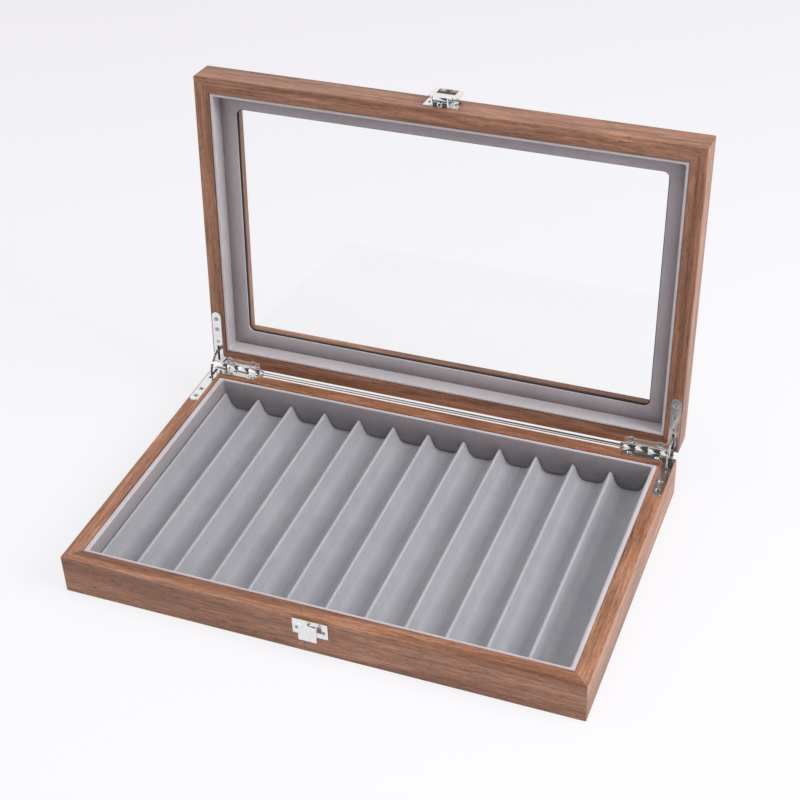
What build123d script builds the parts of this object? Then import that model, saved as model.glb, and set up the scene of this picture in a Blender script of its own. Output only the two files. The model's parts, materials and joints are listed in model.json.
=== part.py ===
"""Walnut pen chest with a hinged glass lid over twelve velvet grooves.

Millimetres. X runs along the chest, Y to the back and Z up, and the origin is the
middle of the underside. The lid and its fittings are drawn shut and then swung back
about the hinge rod, because the chest stands open.
"""
from build123d import *
import math
import os

# Case
LENGTH = 340.0
DEPTH = 216.5
BASE_HEIGHT = 28.2
LID_HEIGHT = 20.8
RIM_GAP = 0.3  # between the two rims when the lid is shut
BASE_RAIL = 10.0
LID_RAIL = 10.5
EDGE_EASE = 0.5
OPEN_ANGLE = 94.7

# Bottom of the base
WALL_UNDER_RAIL = 4.0  # what the rebate for the bottom leaves of the rail
BOTTOM_THICKNESS = 3.0
FELT_THICKNESS = 0.6
BOTTOM_PLAY = 0.1

# Velvet
LINING = 1.4
LINING_DROP = 0.2  # how far the lining stays below the rim
TRAY_PLAY = 0.2
TRAY_HEIGHT = 12.9
TRAY_FLOOR = 1.1  # under a groove
TRAY_LEDGE = 3.6  # beside the outer grooves
GROOVE_COUNT = 12
RIDGE_TOP_WIDTH = 1.8
RIDGE_TOP_RADIUS = 1.2
FLANK_ANGLE = 70.0
GROOVE_RADIUS = 6.0

# Window of the lid
FLANGE_WIDTH = 24.4  # from the outside of the lid to the window
FLANGE_THICKNESS = 5.3
GLASS_THICKNESS = 1.8
GLASS_PLAY = 0.5
BOARD_THICKNESS = 2.2
BOARD_PLAY = 0.2
BOARD_REVEAL = 0.4  # how far the board stays behind the flange's edge
BOARD_WINDOW_RADIUS = 4.5

# Hinges
HINGE_SETBACK = 2.5  # axis behind the back of the case
ROD_RADIUS = 1.5
ROD_PLAY = 0.05
ROD_END = 4.0  # from the side of the case to the rod's end
ROD_TIP = 0.4
KNUCKLE_RADIUS = 2.4
KNUCKLE_COUNT = 4
KNUCKLE_GAP = 0.3
KNUCKLE_RELIEF = 0.4
BARREL_LENGTH = 33.5
BARREL_INSET = 3.0  # from the side of the case
COLLAR_RADIUS = 2.2
COLLAR_LENGTH = 2.2
LEAF_THICKNESS = 1.2
LEAF_INSET = 0.8
LEAF_SIDE_WIDTH = 7.0
LEAF_SIDE_REACH = 41.0  # from the back of the case
LEAF_BACK_WIDTH = 4.5
LEAF_CORNER = 2.0
LOBE_RADIUS = 2.7  # of the leaf's edge round each back screw

# Screws and rivets of the hinges
SCREW_HEAD_RADIUS = 1.8
SCREW_HEAD_DEPTH = 1.2
SCREW_SHANK_RADIUS = 0.9
SCREW_LENGTH = 8.0
FASTENER_SIDES = 12  # the many small round pieces are drawn as polygons
SIDE_SCREWS = (27.2, 35.6)  # from the back of the case
BACK_SCREWS = (12.5, 31.5)  # from the side of the case
BACK_SCREW_INSET = 3.6  # from the back of the case
RIVET_RADIUS = 1.2
RIVET_FROM_BACK = 17.4

# Stays, bent round the hinge axis
STAY_RADIUS = 13.5
STAY_WIDTH = 3.0
STAY_THICKNESS = 1.0
STAY_SIDE_PLAY = 0.3
STAY_END_ANGLE = 13.5  # how far each end stays in the wood with the lid open
STAY_SLOT_PLAY = 1.4
STAY_SLOT_BACK = 2.0  # wood left behind the slot
LUG_RADIUS = 1.3
LUG_LENGTH = 2.4
LUG_PLAY = 0.5
MORTISE_SPARE = 0.9

# Latch, measured out from the front of the case and up from the rims
PLATE_WIDTH = 23.0
PLATE_THICKNESS = 1.0
PLATE_CORNER = 0.8
SHEET = 1.0
TONGUE_WIDTH = 11.8
CATCH_DROP = 1.5  # from the base's rim to the plate
CATCH_HEIGHT = 11.7
TONGUE_TOP_OUT = 4.7
TONGUE_LIP_OUT = 5.6
TONGUE_BEND = 0.6
CATCH_RIVET_RADIUS = 1.4
CATCH_RIVET_OUT = 2.8
CATCH_RIVET_HEIGHT = 0.8
CATCH_RIVET_SHANK = 0.6
NAIL_SPACING = 17.5
NAIL_HEAD_RADIUS = 1.3
NAIL_HEAD_HEIGHT = 0.5
DOME_SHARE = 0.6  # of a round head's height
NAIL_SHANK_RADIUS = 0.5
NAIL_LENGTH = 6.0
CATCH_NAIL_DROP = 8.5
LATCH_NAIL_RISE = 9.2
PLATE_RISE = 3.4  # from the lid's rim to the plate
PLATE_HEIGHT = 11.7
HOUSING_RISE = 3.4
HOUSING_HEIGHT = 10.0
HOUSING_OUT = 3.9
HOUSING_EDGE = 0.3
EYELET_RADIUS = 2.1
EYELET_BORE = 1.0
EYELET_HEIGHT = 0.8
EYELET_EDGE = 0.4
EYELET_OUT = 2.2
EYELET_SHANK_RADIUS = 1.4
PIVOT_RISE = 4.0
PIVOT_OUT = 5.6
PIVOT_RADIUS = 0.6
PIVOT_PLAY = 0.05
PIVOT_HEAD_RADIUS = 0.9
PIVOT_HEAD_LENGTH = 0.5
EAR_WIDTH = 1.1
EAR_PLAY = 0.3
CURL_RADIUS = 1.2
FLAP_SHOULDER = 1.7  # from the pivot to the plate
FLAP_WIDE_START = 4.6
FLAP_WINDOW_START = 9.8
FLAP_WINDOW_END = 18.0
FLAP_LENGTH = 19.2
FLAP_WIDTH = 20.0
FLAP_WINDOW_WIDTH = 12.6
FINGER_LIFT = 3.4  # how far the flap's end turns down, from its upper side
FLAP_CORNER = 1.8
FLAP_WINDOW_CORNER = 0.8
HOOK_PLAY = 0.4  # between the flap's bar and the tongue's lip

# Places that follow from the sizes
HALF_X = LENGTH / 2
HALF_Y = DEPTH / 2
FLOOR_TOP = FELT_THICKNESS + BOTTOM_THICKNESS
LID_RIM = BASE_HEIGHT + RIM_GAP
LID_TOP = LID_RIM + LID_HEIGHT
FLANGE_UNDER = LID_TOP - FLANGE_THICKNESS
BOARD_TOP = FLANGE_UNDER - GLASS_THICKNESS
BOARD_UNDER = BOARD_TOP - BOARD_THICKNESS
HINGE_Y = HALF_Y + HINGE_SETBACK
HINGE_Z = BASE_HEIGHT + RIM_GAP / 2
HINGE_AXIS = Axis((0, HINGE_Y, HINGE_Z), (1, 0, 0))
LEAF_BACK = HALF_Y - LEAF_INSET
LEAF_SIDE = HALF_X - LEAF_INSET
STAY_X = LEAF_SIDE - LEAF_SIDE_WIDTH / 2
STAY_HALF_SPAN = OPEN_ANGLE / 2 + STAY_END_ANGLE
BARREL_END = HALF_X - BARREL_INSET
PIVOT_Y = -HALF_Y - PIVOT_OUT
PIVOT_Z = LID_RIM + PIVOT_RISE
EAR_INNER = TONGUE_WIDTH / 2 - EAR_WIDTH
SMALL = 0.01  # lets a cutter run past the face it opens


def block(x_range, y_range, z_range):
    """Box between the given limits."""
    spans = [x_range, y_range, z_range]
    middle = [(low + high) / 2 for low, high in spans]
    return Pos(*middle) * Box(*[high - low for low, high in spans])


def centred(width, y_range, z_range):
    """Box that is centred on X."""
    return block((-width / 2, width / 2), y_range, z_range)


def frame_block(margin, z_range):
    """Box that stays the given margin inside the case all round."""
    return block((margin - HALF_X, HALF_X - margin), (margin - HALF_Y, HALF_Y - margin), z_range)


def along_x(outline, x_range):
    """Extrude an outline drawn in Y and Z from one X to another."""
    low, high = x_range
    return Pos(low, 0, 0) * extrude(Plane.YZ * outline, amount=high - low)


def rod_along_x(radius, x_range, y, z):
    """Cylinder that lies along X."""
    return along_x(Pos(y, z) * Circle(radius), x_range)


def small_round(low_radius, high_radius, low, high):
    """Small cylinder or cone on the Z axis with few sides."""
    bottom = Pos(0, 0, low) * RegularPolygon(low_radius, FASTENER_SIDES)
    if low_radius == high_radius:
        return extrude(bottom, amount=high - low)
    return loft([bottom, Pos(0, 0, high) * RegularPolygon(high_radius, FASTENER_SIDES)])


def small_round_along_x(radius, x_range, y, z):
    """Small cylinder along X with few sides."""
    return Pos(0, y, z) * Rot(0, 90, 0) * small_round(radius, radius, *x_range)


def both_sides(part):
    """The part and its mirror image across the middle of the chest."""
    return [part, mirror(part, Plane.YZ)]


def swung_open(part):
    """Turn a part of the closed lid back about the hinge rod."""
    return part.rotate(HINGE_AXIS, -OPEN_ANGLE)


def solids_of(parts):
    """All the solids of several parts in one list."""
    return [solid for part in parts for solid in part.solids()]


def cut(part, cutters):
    """Take every cutter out of a part."""
    for cutter in cutters:
        part = part - cutter
    return part


def eased_block(z_range):
    """The case's outside between two heights, with all its edges eased."""
    outside = frame_block(0, z_range)
    return chamfer(outside.edges(), EDGE_EASE)


def mitred(frame, z_range):
    """Split a frame along its corner diagonals into four named pieces."""
    reach = min(HALF_X, HALF_Y) - SMALL
    out = EDGE_EASE
    front = Polyline(
        (-HALF_X - out, -HALF_Y - out),
        (HALF_X + out, -HALF_Y - out),
        (HALF_X - reach, -HALF_Y + reach),
        (-HALF_X + reach, -HALF_Y + reach),
        close=True,
    )
    right = Polyline(
        (HALF_X + out, -HALF_Y - out),
        (HALF_X + out, HALF_Y + out),
        (HALF_X - reach, HALF_Y - reach),
        (HALF_X - reach, -HALF_Y + reach),
        close=True,
    )
    low, high = z_range
    pieces = {}
    for outline, side, opposite, plane in (
        (front, "front", "back", Plane.XZ),
        (right, "right", "left", Plane.YZ),
    ):
        wedge = Pos(0, 0, low) * extrude(make_face(outline), amount=high - low)
        pieces[side] = frame & wedge
        pieces[opposite] = frame & mirror(wedge, plane)
    return pieces


# ---------------------------------------------------------------- hinges


def leaf_blank(rim, rises):
    """L-shaped plate flush with a rim, on the right side, which widens round the back
    screws: in the base it lies below the rim and in the lid above it."""
    side_front = HALF_Y - LEAF_SIDE_REACH
    round_end = LEAF_SIDE_WIDTH / 2
    side_centre = (side_front + round_end + LEAF_BACK) / 2
    side = Pos(STAY_X, side_centre) * Rectangle(LEAF_SIDE_WIDTH, LEAF_BACK - side_front - round_end)
    side += Pos(STAY_X, side_front + round_end) * Circle(round_end)
    back_start = BARREL_END - BARREL_LENGTH
    back = Pos((back_start + LEAF_SIDE) / 2, LEAF_BACK - LEAF_BACK_WIDTH / 2) * Rectangle(
        LEAF_SIDE - back_start, LEAF_BACK_WIDTH
    )
    outline = side + back
    for distance in BACK_SCREWS:
        outline += Pos(HALF_X - distance, HALF_Y - BACK_SCREW_INSET) * Circle(LOBE_RADIUS)
    plate = extrude(outline, amount=LEAF_THICKNESS if rises else -LEAF_THICKNESS)
    plate = Pos(0, 0, rim) * plate
    inner_corner = plate.edges().filter_by(Axis.Z).sort_by_distance(
        (LEAF_SIDE - LEAF_SIDE_WIDTH, LEAF_BACK - LEAF_BACK_WIDTH, rim)
    )[0]
    return fillet(inner_corner, LEAF_CORNER)


def knuckle_spans(is_lid):
    """X limits of the knuckles of one leaf, which take turns with the other leaf's."""
    length = (BARREL_LENGTH - (KNUCKLE_COUNT - 1) * KNUCKLE_GAP) / KNUCKLE_COUNT
    step = length + KNUCKLE_GAP
    first = BARREL_END - BARREL_LENGTH
    return [
        (first + number * step, first + number * step + length)
        for number in range(KNUCKLE_COUNT)
        if (number % 2 == 1) == is_lid
    ]


def leaf_tabs(rim, rises):
    """Tongues of the plate that reach back to the knuckles."""
    low, high = (rim, rim + LEAF_THICKNESS) if rises else (rim - LEAF_THICKNESS, rim)
    return [
        block(span, (LEAF_BACK - LEAF_INSET, HINGE_Y - ROD_RADIUS), (low, high))
        for span in knuckle_spans(rises)
    ]


def stay_slot(rim, rises):
    """Cutter for the slot that the stay slides through."""
    front = HINGE_Y - STAY_RADIUS - STAY_WIDTH / 2 - STAY_SLOT_PLAY
    half = STAY_THICKNESS / 2 + STAY_SIDE_PLAY
    reach = LEAF_THICKNESS + SMALL
    low, high = (rim - SMALL, rim + reach) if rises else (rim - reach, rim + SMALL)
    return block((STAY_X - half, STAY_X + half), (front, HALF_Y - STAY_SLOT_BACK), (low, high))


def stay_mortise(rim, rises):
    """Cutter for the pocket in the wood that holds the stay when the lid is shut."""
    front = HINGE_Y - STAY_RADIUS - STAY_WIDTH / 2 - STAY_SLOT_PLAY
    half = LUG_LENGTH / 2 + LUG_PLAY
    swing = math.sin(math.radians(min(STAY_HALF_SPAN, 90.0)))
    depth = STAY_RADIUS * swing + LUG_RADIUS + MORTISE_SPARE
    low, high = (rim - SMALL, HINGE_Z + depth) if rises else (HINGE_Z - depth, rim + SMALL)
    return block((STAY_X - half, STAY_X + half), (front, HALF_Y - STAY_SLOT_BACK), (low, high))


def screw():
    """Countersunk screw whose head lies at the origin and whose tip points down."""
    head = small_round(SCREW_SHANK_RADIUS, SCREW_HEAD_RADIUS, -SCREW_HEAD_DEPTH, 0)
    shank = small_round(SCREW_SHANK_RADIUS, SCREW_SHANK_RADIUS, -SCREW_LENGTH, -SCREW_HEAD_DEPTH)
    return head + shank


def screw_places(rim, rises):
    """Locations of the right leaf's screws, with their heads at the rim."""
    points = [(STAY_X, HALF_Y - distance) for distance in SIDE_SCREWS]
    points += [(HALF_X - distance, HALF_Y - BACK_SCREW_INSET) for distance in BACK_SCREWS]
    turn = 180 if rises else 0
    return [Pos(x, y, rim) * Rot(turn, 0, 0) for x, y in points]


def rivet(rim):
    """Flush rivet through the right leaf of the lid, beside the stay's slot."""
    place = Pos(STAY_X, HALF_Y - RIVET_FROM_BACK, rim)
    return place * small_round(RIVET_RADIUS, RIVET_RADIUS, 0, LEAF_THICKNESS)


def leaf(rim, rises):
    """Right hinge leaf: plate, tabs, knuckles, slot and screw holes."""
    plate = leaf_blank(rim, rises)
    for tab in leaf_tabs(rim, rises):
        plate += tab
    for span in knuckle_spans(rises):
        plate += rod_along_x(KNUCKLE_RADIUS, span, HINGE_Y, HINGE_Z)
    bore = rod_along_x(
        ROD_RADIUS + ROD_PLAY,
        (BARREL_END - BARREL_LENGTH - SMALL, BARREL_END + SMALL),
        HINGE_Y,
        HINGE_Z,
    )
    cutters = [bore, stay_slot(rim, rises)]
    cutters += [place * screw() for place in screw_places(rim, rises)]
    if rises:
        cutters.append(rivet(rim))
    return cut(plate, cutters)


def leaf_screws(rim, rises):
    """All the screws of one rim's two leaves."""
    screws = [place * screw() for place in screw_places(rim, rises)]
    return [side for one in screws for side in both_sides(one)]


def hinge_cuts(rim, rises):
    """What both hinges take out of one rim."""
    relief = rod_along_x(
        KNUCKLE_RADIUS + KNUCKLE_RELIEF,
        (BARREL_END - BARREL_LENGTH - COLLAR_LENGTH - 2 * KNUCKLE_GAP, BARREL_END + KNUCKLE_RELIEF),
        HINGE_Y,
        HINGE_Z,
    )
    cutters = [leaf_blank(rim, rises), relief, stay_mortise(rim, rises)]
    cutters += leaf_tabs(rim, rises)
    cutters += [place * screw() for place in screw_places(rim, rises)]
    return [side for one in cutters for side in both_sides(one)]


def hinge_rod():
    """Long pin through both barrels, with bevelled ends."""
    reach = HALF_X - ROD_END
    rod = rod_along_x(ROD_RADIUS, (-reach, reach), HINGE_Y, HINGE_Z)
    return chamfer(rod.edges().filter_by(GeomType.CIRCLE), ROD_TIP)


def rod_collars():
    """Rings that keep the rod from sliding sideways."""
    outer = BARREL_END - BARREL_LENGTH - KNUCKLE_GAP
    span = (outer - COLLAR_LENGTH, outer)
    collar = small_round_along_x(COLLAR_RADIUS, span, HINGE_Y, HINGE_Z)
    collar -= rod_along_x(ROD_RADIUS, span, HINGE_Y, HINGE_Z)
    return both_sides(collar)


def stay():
    """Right stay: a strap bent round the hinge axis, with a lug at each end that
    can't pass the slots. It stands halfway between the leaves."""
    middle = 180 - OPEN_ANGLE / 2
    arc = CenterArc((0, 0), STAY_RADIUS, middle - STAY_HALF_SPAN, 2 * STAY_HALF_SPAN)
    half = STAY_THICKNESS / 2
    strap = Pos(HINGE_Y, HINGE_Z) * SlotArc(arc, STAY_WIDTH)
    strap = along_x(strap, (STAY_X - half, STAY_X + half))
    lug_span = (STAY_X - LUG_LENGTH / 2, STAY_X + LUG_LENGTH / 2)
    for side in (-1, 1):
        angle = math.radians(middle + side * STAY_HALF_SPAN)
        y = HINGE_Y + STAY_RADIUS * math.cos(angle)
        z = HINGE_Z + STAY_RADIUS * math.sin(angle)
        strap += small_round_along_x(LUG_RADIUS, lug_span, y, z)
    return strap


# ----------------------------------------------------------------- latch


def front(out):
    """Y of a place that stands the given distance out from the front."""
    return -HALF_Y - out


def round_head(radius, height):
    """Low domed head that stands on the plane Z = 0."""
    rim = height * (1 - DOME_SHARE)
    return small_round(radius, radius, 0, rim) + small_round(radius, radius - rim, rim, height)


def nail():
    """Round-headed nail whose head lies on the plane Z = 0 and whose tip points down."""
    shank = small_round(NAIL_SHANK_RADIUS, NAIL_SHANK_RADIUS, -NAIL_LENGTH, 0)
    return round_head(NAIL_HEAD_RADIUS, NAIL_HEAD_HEIGHT) + shank


def nails(height):
    """Two nails that go into the front through a plate."""
    facing = Rot(90, 0, 0)
    return [
        Pos(side * NAIL_SPACING / 2, front(PLATE_THICKNESS), height) * facing * nail()
        for side in (-1, 1)
    ]


def face_plate(z_range):
    """Thin plate on the front with rounded corners."""
    plate = centred(PLATE_WIDTH, (front(PLATE_THICKNESS), front(0)), z_range)
    return fillet(plate.edges().filter_by(Axis.Y), PLATE_CORNER)


def catch_plate():
    """Plate on the base with a formed tongue, which slopes out and down to a lip."""
    top = BASE_HEIGHT - CATCH_DROP
    lip = PIVOT_Z - FLAP_WINDOW_END + HOOK_PLAY
    slope = (TONGUE_LIP_OUT - TONGUE_TOP_OUT) / (top - lip)
    inside_top = TONGUE_TOP_OUT - SHEET + slope * SHEET
    outline = Polyline(
        (front(0), top),
        (front(TONGUE_TOP_OUT), top),
        (front(TONGUE_LIP_OUT), lip),
        (front(TONGUE_LIP_OUT - SHEET), lip),
        (front(inside_top), top - SHEET),
        (front(0), top - SHEET),
        close=True,
    )
    half = TONGUE_WIDTH / 2
    tongue = along_x(make_face(outline), (-half, half))
    bend = tongue.edges().filter_by(Axis.X).sort_by_distance((0, front(TONGUE_TOP_OUT), top))[0]
    tongue = fillet(bend, TONGUE_BEND)
    plate = face_plate((top - CATCH_HEIGHT, top)) + tongue
    return cut(plate, [*catch_nails(), catch_rivet()])


def catch_rivet():
    """Rivet with a round head on top of the tongue."""
    head = round_head(CATCH_RIVET_RADIUS, CATCH_RIVET_HEIGHT)
    shank = small_round(CATCH_RIVET_SHANK, CATCH_RIVET_SHANK, -SHEET, 0)
    return Pos(0, front(CATCH_RIVET_OUT), BASE_HEIGHT - CATCH_DROP) * (head + shank)


def catch_nails():
    """Nails of the catch."""
    return nails(BASE_HEIGHT - CATCH_NAIL_DROP)


def pivot_hole(radius, half):
    """Cylinder on the flap's pivot."""
    return rod_along_x(radius, (-half, half), PIVOT_Y, PIVOT_Z)


def eyelet_bore():
    """Hole through the eyelet and the sheet that it is riveted to."""
    return small_round(EYELET_BORE, EYELET_BORE, -EYELET_HEIGHT - SMALL, SHEET + SMALL)


def latch_eyelet():
    """Ring riveted into the housing's end."""
    low = LID_RIM + HOUSING_RISE
    edge = EYELET_EDGE - EYELET_HEIGHT
    head = small_round(EYELET_RADIUS, EYELET_RADIUS, edge, 0)
    head += small_round(EYELET_RADIUS - EYELET_EDGE, EYELET_RADIUS, -EYELET_HEIGHT, edge)
    shank = small_round(EYELET_SHANK_RADIUS, EYELET_SHANK_RADIUS, 0, SHEET)
    return Pos(0, front(EYELET_OUT), low) * (head + shank - eyelet_bore())


def latch_housing():
    """Plate on the lid with a pressed housing and two ears for the flap's pin."""
    low = LID_RIM + HOUSING_RISE
    half = TONGUE_WIDTH / 2
    shell = centred(TONGUE_WIDTH, (front(HOUSING_OUT), front(0)), (low, low + HOUSING_HEIGHT))
    outer = shell.faces().sort_by(Axis.Y)[0].edges()
    shell = chamfer(outer, HOUSING_EDGE)
    hollow = centred(
        TONGUE_WIDTH - 2 * SHEET,
        (front(HOUSING_OUT - SHEET), front(-SMALL)),
        (low + SHEET, low + HOUSING_HEIGHT - SHEET),
    )
    plate = face_plate((LID_RIM + PLATE_RISE, LID_RIM + PLATE_RISE + PLATE_HEIGHT))
    housing = plate + shell - hollow
    for span in ((-half, -EAR_INNER), (EAR_INNER, half)):
        housing += block(
            span,
            (PIVOT_Y, front(HOUSING_OUT - SHEET)),
            (PIVOT_Z - CURL_RADIUS, PIVOT_Z + CURL_RADIUS),
        )
        housing += rod_along_x(CURL_RADIUS, span, PIVOT_Y, PIVOT_Z)
    cutters = [pivot_hole(PIVOT_RADIUS, half + SMALL), latch_eyelet()]
    cutters += latch_nails()
    cutters.append(Pos(0, front(EYELET_OUT), low) * eyelet_bore())
    return cut(housing, cutters)


def latch_pin():
    """Pin of the flap, headed outside both ears."""
    half = TONGUE_WIDTH / 2
    pin = pivot_hole(PIVOT_RADIUS, half)
    for span in ((-half - PIVOT_HEAD_LENGTH, -half), (half, half + PIVOT_HEAD_LENGTH)):
        pin += small_round_along_x(PIVOT_HEAD_RADIUS, span, PIVOT_Y, PIVOT_Z)
    return pin


def latch_nails():
    """Nails of the latch's plate."""
    return nails(LID_RIM + LATCH_NAIL_RISE)


def latch_flap():
    """Flap that lies back on the housing: curl, neck, and a plate with a window, whose
    end turns down as a lift for the finger."""
    neck_half = EAR_INNER - EAR_PLAY
    body = Pos(0, (FLAP_SHOULDER + FLAP_WINDOW_START) / 2) * Rectangle(
        TONGUE_WIDTH, FLAP_WINDOW_START - FLAP_SHOULDER
    )
    wide_middle = (FLAP_WIDE_START + FLAP_LENGTH) / 2
    body += Pos(0, wide_middle) * RectangleRounded(
        FLAP_WIDTH, FLAP_LENGTH - FLAP_WIDE_START, FLAP_CORNER
    )
    body += Pos(0, FLAP_SHOULDER / 2) * Rectangle(2 * neck_half, FLAP_SHOULDER + 2 * SMALL)
    body -= Pos(0, (FLAP_WINDOW_START + FLAP_WINDOW_END) / 2) * RectangleRounded(
        FLAP_WINDOW_WIDTH, FLAP_WINDOW_END - FLAP_WINDOW_START, FLAP_WINDOW_CORNER
    )
    under = PIVOT_OUT - CURL_RADIUS
    on_housing = Plane(origin=(0, front(under), PIVOT_Z), x_dir=(1, 0, 0), z_dir=(0, -1, 0))
    flap = extrude(on_housing * body, amount=SHEET)
    flap += centred(
        FLAP_WIDTH - 2 * FLAP_CORNER,
        (front(under), front(under + SHEET - FINGER_LIFT)),
        (PIVOT_Z + FLAP_LENGTH - SHEET, PIVOT_Z + FLAP_LENGTH),
    )
    flap += pivot_hole(CURL_RADIUS, neck_half)
    return flap - pivot_hole(PIVOT_RADIUS + PIVOT_PLAY, neck_half + SMALL)


# ------------------------------------------------------------------ case


def base_rails():
    """Four mitred rails of the base, rebated below for the bottom."""
    height = (0, BASE_HEIGHT)
    frame = eased_block(height)
    frame -= frame_block(BASE_RAIL, (-SMALL, BASE_HEIGHT + SMALL))
    frame -= frame_block(WALL_UNDER_RAIL, (-SMALL, FLOOR_TOP))
    frame = cut(frame, hinge_cuts(BASE_HEIGHT, False) + catch_nails())
    return mitred(frame, (-SMALL, BASE_HEIGHT + SMALL))


def lid_rails():
    """Four mitred rails of the lid, whose top flange frames the window."""
    frame = eased_block((LID_RIM, LID_TOP))
    frame -= frame_block(LID_RAIL, (LID_RIM - SMALL, FLANGE_UNDER))
    frame -= frame_block(FLANGE_WIDTH, (FLANGE_UNDER - SMALL, LID_TOP + SMALL))
    frame = cut(frame, hinge_cuts(LID_RIM, True) + latch_nails())
    return mitred(frame, (LID_RIM - SMALL, LID_TOP + SMALL))


def lining(rail, z_range):
    """Four velvet strips on the inside of the rails."""
    frame = frame_block(rail, z_range) - frame_block(rail + LINING, z_range)
    return mitred(frame, z_range)


def bottom_layer(z_range):
    """Sheet that fills the rebate under the rails."""
    return frame_block(WALL_UNDER_RAIL + BOTTOM_PLAY, z_range)


def groove_outline(width):
    """Section of the tray: ridges with round tops between grooves with round feet."""
    pitch = (width - 2 * TRAY_LEDGE) / GROOVE_COUNT
    top = FLOOR_TOP + TRAY_HEIGHT
    low = FLOOR_TOP + TRAY_FLOOR
    run = (top - low) / math.tan(math.radians(FLANK_ANGLE))
    edge = RIDGE_TOP_WIDTH / 2
    points = [(-width / 2, FLOOR_TOP), (-width / 2, top)]
    for number in range(GROOVE_COUNT):
        left = -width / 2 + TRAY_LEDGE + number * pitch
        right = left + pitch
        points += [(left + edge, top), (left + edge + run, low)]
        points += [(right - edge - run, low), (right - edge, top)]
    points += [(width / 2, top), (width / 2, FLOOR_TOP)]
    outline = make_face(Polyline(*points, close=True))
    inner = outline.vertices().filter_by_position(
        Axis.X, -width / 2 + SMALL, width / 2 - SMALL
    )
    feet = inner.filter_by_position(Axis.Y, low - SMALL, low + SMALL)
    outline = fillet(feet, GROOVE_RADIUS)
    inner = outline.vertices().filter_by_position(
        Axis.X, -width / 2 + SMALL, width / 2 - SMALL
    )
    crests = inner.filter_by_position(Axis.Y, top - SMALL, top + SMALL)
    return fillet(crests, RIDGE_TOP_RADIUS)


def pen_tray_insert():
    """Velvet tray with its grooves running from front to back."""
    margin = BASE_RAIL + LINING + TRAY_PLAY
    width = LENGTH - 2 * margin
    depth = DEPTH - 2 * margin
    return extrude(Plane.XZ * groove_outline(width), amount=depth / 2, both=True)


def lid_glass():
    """Pane that lies under the flange."""
    return frame_block(LID_RAIL + GLASS_PLAY, (BOARD_TOP, FLANGE_UNDER))


def lid_board():
    """Velvet board with a round-cornered window, which holds the pane up."""
    board = frame_block(LID_RAIL + BOARD_PLAY, (BOARD_UNDER, BOARD_TOP))
    margin = FLANGE_WIDTH - BOARD_REVEAL
    window = RectangleRounded(LENGTH - 2 * margin, DEPTH - 2 * margin, BOARD_WINDOW_RADIUS)
    window = extrude(window, amount=BOARD_THICKNESS + 2 * SMALL)
    return board - Pos(0, 0, BOARD_UNDER - SMALL) * window


# ----------------------------------------------------------------- nodes


def base_nodes():
    """Every piece that stays with the base."""
    nodes = {}
    for side, rail in base_rails().items():
        nodes[f"base_{side}_rail"] = [rail]
    nodes["base_bottom_panel"] = [bottom_layer((FELT_THICKNESS, FLOOR_TOP))]
    nodes["underside_felt"] = [bottom_layer((0, FELT_THICKNESS))]
    for side, strip in lining(BASE_RAIL, (FLOOR_TOP, BASE_HEIGHT - LINING_DROP)).items():
        nodes[f"base_{side}_lining"] = [strip]
    nodes["pen_tray_insert"] = [pen_tray_insert()]
    right, left = both_sides(leaf(BASE_HEIGHT, False))
    nodes["right_base_leaf"] = [right]
    nodes["left_base_leaf"] = [left]
    nodes["base_leaf_screws"] = leaf_screws(BASE_HEIGHT, False)
    nodes["hinge_rod"] = [hinge_rod()]
    nodes["rod_collars"] = rod_collars()
    nodes["catch_plate"] = [catch_plate()]
    nodes["catch_rivet"] = [catch_rivet()]
    nodes["catch_nails"] = catch_nails()
    right, left = both_sides(stay())
    nodes["right_stay_arm"] = [right]
    nodes["left_stay_arm"] = [left]
    return nodes


def lid_nodes():
    """Every piece that turns with the lid, drawn shut."""
    nodes = {}
    for side, rail in lid_rails().items():
        nodes[f"lid_{side}_rail"] = [rail]
    nodes["lid_glass"] = [lid_glass()]
    nodes["lid_board"] = [lid_board()]
    for side, strip in lining(LID_RAIL, (LID_RIM + LINING_DROP, BOARD_UNDER)).items():
        nodes[f"lid_{side}_lining"] = [strip]
    right, left = both_sides(leaf(LID_RIM, True))
    nodes["right_lid_leaf"] = [right]
    nodes["left_lid_leaf"] = [left]
    nodes["lid_leaf_screws"] = leaf_screws(LID_RIM, True)
    nodes["leaf_rivets"] = both_sides(rivet(LID_RIM))
    nodes["latch_housing"] = [latch_housing()]
    nodes["latch_eyelet"] = [latch_eyelet()]
    nodes["latch_pin"] = [latch_pin()]
    nodes["latch_nails"] = latch_nails()
    nodes["latch_flap"] = [latch_flap()]
    return nodes


def main():
    """Write one STEP file for each node."""
    os.makedirs("parts", exist_ok=True)
    nodes = base_nodes()
    for name, parts in lid_nodes().items():
        nodes[name] = [swung_open(part) for part in parts]
    for name, parts in nodes.items():
        export_step(Compound(children=solids_of(parts)), f"parts/{name}.step")


main()
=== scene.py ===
"""Walnut pen chest with its glass lid open, in a pale studio.

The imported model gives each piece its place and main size. The rails, hinges, latch and
glass keep their solids and get a finish here. The velvet and felt pieces, the hinge rod and
the small fasteners are modelled again in more detail.
"""
import json
import math
import bmesh
import bpy
from mathutils import Matrix, Vector, noise


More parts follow.
